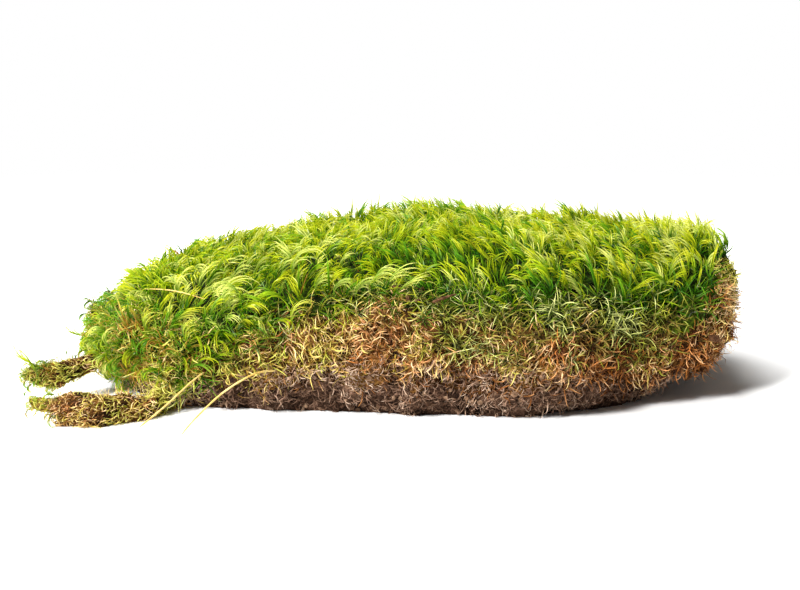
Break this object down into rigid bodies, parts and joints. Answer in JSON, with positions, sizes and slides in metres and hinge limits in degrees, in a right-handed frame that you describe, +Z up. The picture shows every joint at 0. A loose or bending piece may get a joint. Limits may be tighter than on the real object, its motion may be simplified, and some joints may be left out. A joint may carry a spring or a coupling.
{
  "type": "moss clump",
  "caption": "Loose cushion-moss clump: a dome of leaning green shoots on a layer of curly brown stems, with a dark felted underside that stands flat and torn strands trailing from the left end.",
  "frame": {"origin": "middle of the flat patch of the felted underside that the clump stands on", "axes": "+X along the clump's length towards its torn blunt end, -Y towards the front of the clump, +Z up through the green crown"},
  "size_m": [0.1808, 0.1342, 0.0472],
  "materials": {
    "living_moss": "thin living leaves, yellow-green at their tips and darker green below, matte to satin",
    "old_stems": "dead curled leaves and stems, orange-brown, matte",
    "rhizoid_felt": "felted rhizoids with soil crumbs, purple-brown, matte",
    "dry_straw": "dry grass straw, pale yellow, satin"
  },
  "bodies": {
    "root": {"shoot_crown": "living_moss", "stem_layer": "old_stems", "rhizoid_mat": "rhizoid_felt", "torn_strand_lower": "old_stems", "torn_strand_upper": "old_stems", "dry_straw_left": "dry_straw", "dry_straw_middle": "dry_straw"}
  },
  "joints": []
}
